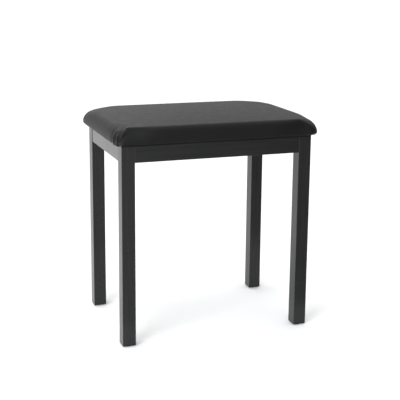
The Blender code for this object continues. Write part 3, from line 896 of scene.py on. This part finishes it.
def washer_mesh(radius, bore, thickness, sides=48):
    """A flat washer with its outer and inner edges a little rounded."""
    ease = WASHER_EASE
    section = [
        (bore, ease), (bore + ease, 0), (radius - ease, 0), (radius, ease),
        (radius, thickness - ease), (radius - ease, thickness),
        (bore + ease, thickness), (bore, thickness - ease),
    ]
    rows = [circle(across, height - thickness / 2, sides) for across, height in section]
    return rings_mesh("washer", rows, sharp=50, closed=True)


def nut_mesh(across_flats, bore, height, sides=72):
    """A hexagon nut: its corners are turned off by a cone at each end, and its bore is countersunk."""
    cone_start = across_flats / 2 * NUT_CONE_SHARE
    rows = []
    for level in (*NUT_LEVELS, *(height - level for level in reversed(NUT_LEVELS))):
        cone = cone_start + min(level, height - level) * math.tan(NUT_CONE_SLOPE)
        row = []
        for side in range(sides):
            turn = 2 * math.pi * side / sides
            flat = across_flats / 2 / math.cos(turn % (math.pi / 3) - math.pi / 6)
            radius = min(flat, cone)
            row.append((radius * math.cos(turn), radius * math.sin(turn), level - height / 2))
        rows.append(row)
    mouth, sink = bore + NUT_SINK_WIDTH, NUT_SINK_DEPTH
    for radius, level in ((mouth, height), (bore, height - sink), (bore, sink), (mouth, 0.0)):
        rows.append(circle(radius, level - height / 2, sides))
    return rings_mesh("nut", rows, sharp=28, closed=True)


def hanger_bolt_mesh():
    """A coarse wood thread with a point, a plain waist, and an M6 machine thread with a chamfered end."""
    radius, in_leg, length = BOLT_RADIUS, BOLT_IN_LEG, BOLT_LENGTH
    point, point_radius, waist, waist_end, machine_start = 0.006, 0.0006, 0.0026, 0.003, 0.004
    easing, chamfer = 0.001, 0.0008
    wood_pitch, wood_depth, point_depth = 0.0025, 0.0008, 0.0003
    machine_pitch, machine_depth = 0.001, 0.0005
    return threaded("hanger_bolt", [
        (0, point, point_radius, radius, wood_pitch, point_depth),
        (point, in_leg - easing, radius, radius, wood_pitch, wood_depth),
        (in_leg, in_leg + waist_end, waist, waist, 0, 0),
        (in_leg + machine_start, length - chamfer, radius, radius, machine_pitch, machine_depth),
        (length, length, radius - chamfer, radius - chamfer, 0, 0),
    ])


def cross_outline(span, width, height):
    """The twelve points of a cross of equal arms."""
    arm, half = span / 2, width / 2
    quarter = [(arm, -half), (arm, half), (half, half)]
    points = []
    for turn in range(4):
        for x, y in quarter:
            for _ in range(turn):
                x, y = -y, x
            points.append((x, y, height))
    return points


def pan_head_screw_mesh(name, length):
    """A wood screw pointing down Z with its head resting at 0: a domed pan head with a cross recess."""
    head, radius = SCREW_HEAD_HEIGHT, SCREW_HEAD_RADIUS
    point, point_radius, under_head_ease = 0.004, 0.0003, 0.0001
    dome_start, dome_fullness, dome_flat, dome_steps = 0.3, 0.7, 0.0002, 8
    profile = [(point_radius, -length), (SCREW_RADIUS, -length + point), (SCREW_RADIUS, 0),
               (radius - under_head_ease, 0)]
    for step in range(dome_steps + 1):
        turn = math.pi / 2 * step / dome_steps
        height = head * (dome_start + (1 - dome_start) * math.sin(turn))
        profile.append((radius * math.cos(turn) ** dome_fullness + dome_flat, height))
    body = new_object(name, turned(name, profile))
    bottom_span, bottom_width, mouth_span, mouth_width = 0.0012, 0.0006, 0.0040, 0.0011
    bottom = cross_outline(bottom_span, bottom_width, head - RECESS_DEPTH)
    recess = bottom + cross_outline(mouth_span, mouth_width, head + GAP)
    cutter = new_object("recess", mesh_from("recess", recess, capped_faces(2, len(bottom))))
    cut = body.modifiers.new("recess", "BOOLEAN")
    cut.solver = "EXACT"
    cut.object = cutter
    graph = bpy.context.evaluated_depsgraph_get()
    mesh = bpy.data.meshes.new_from_object(body.evaluated_get(graph))
    mesh.name = name
    for obj in (body, cutter):
        bpy.data.objects.remove(obj)
    smooth_rounds(mesh, angle=30)
    return mesh


def glide_mesh():
    """A nail-on glide: a shallow dish with a rounded rim and a flat foot, and its nail up into the leg."""
    radius, height, stem = GLIDE_RADIUS, GLIDE_HEIGHT, GLIDE_STEM_RADIUS
    top = height + GLIDE_STEM_LENGTH
    foot_inset, rim, ease, nail_point, nail_tip = 0.0013, 0.0011, 0.0003, 0.0015, 0.0004
    steps = 6
    profile = [(radius - foot_inset, 0.0)]
    for step in range(1, steps + 1):
        turn = math.pi / 2 * step / steps
        profile.append((radius - rim * (1 - math.sin(turn)), rim * (1 - math.cos(turn))))
    profile += [(radius, height - ease), (radius - ease, height), (stem, height), (stem, top - nail_point),
                (nail_tip, top)]
    return turned("foot_glide", profile)


def box_middle(node):
    low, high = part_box(node)
    return (low + high) / 2


def make_hardware(finishes):
    """The bolts, washers, nuts, screws and glides, each in its CAD node's place."""
    bolt = hanger_bolt_mesh()
    washer = washer_mesh(WASHER_RADIUS, BOLT_RADIUS + GAP, WASHER_THICKNESS)
    nut = nut_mesh(NUT_ACROSS_FLATS, BOLT_RADIUS + GAP, NUT_HEIGHT)
    short_screw = pan_head_screw_mesh("bracket_screw", BRACKET_SCREW_LENGTH)
    long_screw = pan_head_screw_mesh("seat_screw", SEAT_SCREW_LENGTH)
    glide = glide_mesh()

    def place(node, ending, mesh, direction, back=0, finish="zinc", slot="zinc_plate"):
        piece = make_piece(f"{node}_{ending}", mesh, finishes[finish], [node])
        aim(piece, box_middle(node) - Vector(direction).normalized() * back, direction)
        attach(piece, "root")

    for corner in CORNERS:
        leg = box_middle(f"leg_{corner}")
        inward = Vector((-math.copysign(1, leg.x), -math.copysign(1, leg.y), 0))
        place(f"hanger_bolt_{corner}", "threaded", bolt, inward, BOLT_LENGTH / 2)
        place(f"bolt_washer_{corner}", "round", washer, inward)
        place(f"bolt_nut_{corner}", "hex", nut, inward)
        for side, direction in (("long", (0, inward.y, 0)), ("short", (inward.x, 0, 0))):
            back = (SCREW_HEAD_HEIGHT - BRACKET_SCREW_LENGTH) / 2
            place(f"bracket_screw_{corner}_{side}", "cross", short_screw, direction, back)
        low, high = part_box(f"foot_glide_{corner}")
        place(f"foot_glide_{corner}", "dished", glide, (0, 0, 1), (high.z - low.z) / 2, "nylon", "nylon")
    for side in ("front", "back"):
        for end in ("left", "right"):
            back = (SCREW_HEAD_HEIGHT - SEAT_SCREW_LENGTH) / 2
            place(f"seat_screw_{side}_{end}", "cross", long_screw, (0, 0, -1), back)


# Carried-over CAD nodes


def paint(node, material):
    """Gives a CAD node the material, on its object, so that its mesh stays as it is."""
    obj = NODES[node]
    for material_slot in obj.material_slots:
        material_slot.link = "OBJECT"
        material_slot.material = material


def ease_edges(node, width):
    """Rounds a CAD node's sharp edges a little, with its points joined first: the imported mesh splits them."""
    weld = NODES[node].modifiers.new("join", "WELD")
    weld.merge_threshold = 0.00001
    bevel = NODES[node].modifiers.new("edges", "BEVEL")
    bevel.width = width
    bevel.segments = 2
    bevel.limit_method = "ANGLE"
    bevel.angle_limit = math.radians(40)


def paint_frame(finishes):
    for corner in CORNERS:
        paint(f"leg_{corner}", finishes["leg_lacquer"])
        paint(f"corner_bracket_{corner}", finishes["zinc"])
        ease_edges(f"corner_bracket_{corner}", 0.00025)
    for side in ("front", "back"):
        paint(f"apron_{side}", finishes["long_apron_lacquer"])
        paint(f"seat_batten_{side}", finishes["batten"])
    for side in ("left", "right"):
        paint(f"apron_{side}", finishes["short_apron_lacquer"])
    paint("seat_board", finishes["plywood"])


def size_of(node):
    low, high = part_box(node)
    return tuple(high - low)


def make_finishes():
    leg, long_apron, short_apron = map(size_of, ("leg_front_left", "apron_front", "apron_left"))
    return {
        "leg_lacquer": lacquer("leg_lacquer", "Z", leg, 0.24, 0.31, *BLACK),
        "long_apron_lacquer": lacquer("long_apron_lacquer", "X", long_apron, 0.20, 0.26, *BLACK),
        # A lit copy of the same lacquer: more sheen, and a painted warm reflection in its colour
        "short_apron_lacquer": lacquer("short_apron_lacquer", "Y", short_apron, 0.20, 0.42, *WARM_BLACK_PAINTED_REFLECTION),
        "vinyl": black_vinyl(),
        "zinc": zinc_plate(),
        "nylon": black_nylon(),
        "non_woven": non_woven(),
        "batten": bare_wood("pine_batten", "X", (0.62, 0.44, 0.25), (0.40, 0.24, 0.11)),
        "plywood": bare_wood("plywood", "X", (0.55, 0.38, 0.22), (0.33, 0.20, 0.10), ply=0.0013),
        "foam": open_foam(),
    }


# Studio


def make_floor():
    """A sheet of pale paper under and behind the bench, which ends a little in front of it."""
    mesh = mesh_from("floor", [(-FLOOR_HALF, -FLOOR_FRONT, 0), (FLOOR_HALF, -FLOOR_FRONT, 0),
                               (FLOOR_HALF, FLOOR_HALF, 0), (-FLOOR_HALF, FLOOR_HALF, 0)], [(0, 1, 2, 3)])
    floor = new_object("floor", mesh)
    material, tree, shader = new_material("floor_paper", Specular_IOR_Level=0.0)
    soft = noise(tree, object_coordinates(tree), 3, detail=2)
    shade = mix_colour(tree, remap(tree, soft, 0, 1), (0.88, 0.88, 0.88), (0.90, 0.90, 0.90))
    tree.links.new(shade, shader.inputs["Base Color"])
    shader.inputs["Roughness"].default_value = 1.0
    mesh.materials.append(material)


def make_world():
    """A room that is plain white to look at. As light it is bright behind, above and on the left in front,
    and dim on the right in front."""
    world = bpy.data.worlds.new("studio")
    bpy.context.scene.world = world
    world.use_nodes = True
    tree = world.node_tree
    tree.nodes.clear()
    direction = add_node(tree, "TexCoord").outputs["Generated"]
    x, y, z = add_node(tree, "SeparateXYZ", {"Vector": direction}).outputs[:3]
    front_left = remap(tree, x, ROOM_BACK, ROOM_FRONT_LEFT, *LEFT_RAMP)
    dimmer_right = remap(tree, x, 0.0, ROOM_FRONT_LEFT - ROOM_FRONT_RIGHT, *RIGHT_RAMP)
    front = math_node(tree, "SUBTRACT", front_left, dimmer_right)
    back = remap(tree, y, 0.0, ROOM_BACK, *BACK_RAMP)
    overhead = remap(tree, z, 0.0, ROOM_OVERHEAD, *OVERHEAD_RAMP)
    strength = math_node(tree, "ADD", math_node(tree, "MAXIMUM", front, back), overhead)
    lighting = add_node(tree, "Background", {"Color": (1, 1, 1, 1), "Strength": strength})
    backdrop = add_node(tree, "Background", {"Color": (1, 1, 1, 1), "Strength": BACKDROP})
    looked_at = add_node(tree, "LightPath").outputs["Is Camera Ray"]
    mixed = add_node(tree, "MixShader", {
        0: looked_at, 1: lighting.outputs["Background"], 2: backdrop.outputs["Background"],
    })
    add_node(tree, "OutputWorld", {"Surface": mixed.outputs["Shader"]})


def make_softbox(name, place, target, size, power, colour=(1, 1, 1)):
    """A square area light that faces its target."""
    light = bpy.data.lights.new(name, "AREA")
    light.color = colour
    light.shape = "SQUARE"
    light.size = size
    light.energy = power
    aim(new_object(name, light), place, Vector(target) - Vector(place), axis="-Z")


def make_camera():
    data = bpy.data.cameras.new("camera")
    data.lens = CAMERA_LENS
    data.shift_y = CAMERA_SHIFT
    data.clip_end = 100
    camera = new_object("camera", data)
    facing = Matrix.Rotation(-math.radians(CAMERA_TO_RIGHT), 4, "Z")
    tilt = Matrix.Rotation(math.radians(90 - CAMERA_DOWN), 4, "X")
    roll = Matrix.Rotation(math.radians(CAMERA_ROLL), 4, "Z")
    camera.matrix_world = Matrix.Translation(CAMERA_PLACE) @ facing @ tilt @ roll
    bpy.context.scene.camera = camera


def main():
    finishes = make_finishes()
    paint_frame(finishes)
    _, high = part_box("seat_cover")
    plan = Outline(high.x, high.y)
    points, rings = make_cover(plan, finishes["vinyl"])
    make_foam(plan, points, rings, finishes["foam"])
    make_dust_cover(finishes["non_woven"])
    make_hardware(finishes)
    make_floor()
    make_world()
    make_softbox("softbox_overhead", place=(-0.7, 0.8, 2.6), target=(0, 0, 0.2), size=2.4, power=15)
    make_softbox("softbox_front_left", place=(-2.2, -1.9, 0.60), target=(0, 0, 0.45), size=1.6, power=130,
                 colour=(0.91, 0.96, 1.0))
    make_camera()
    bpy.context.scene.view_settings.view_transform = "Standard"


main()
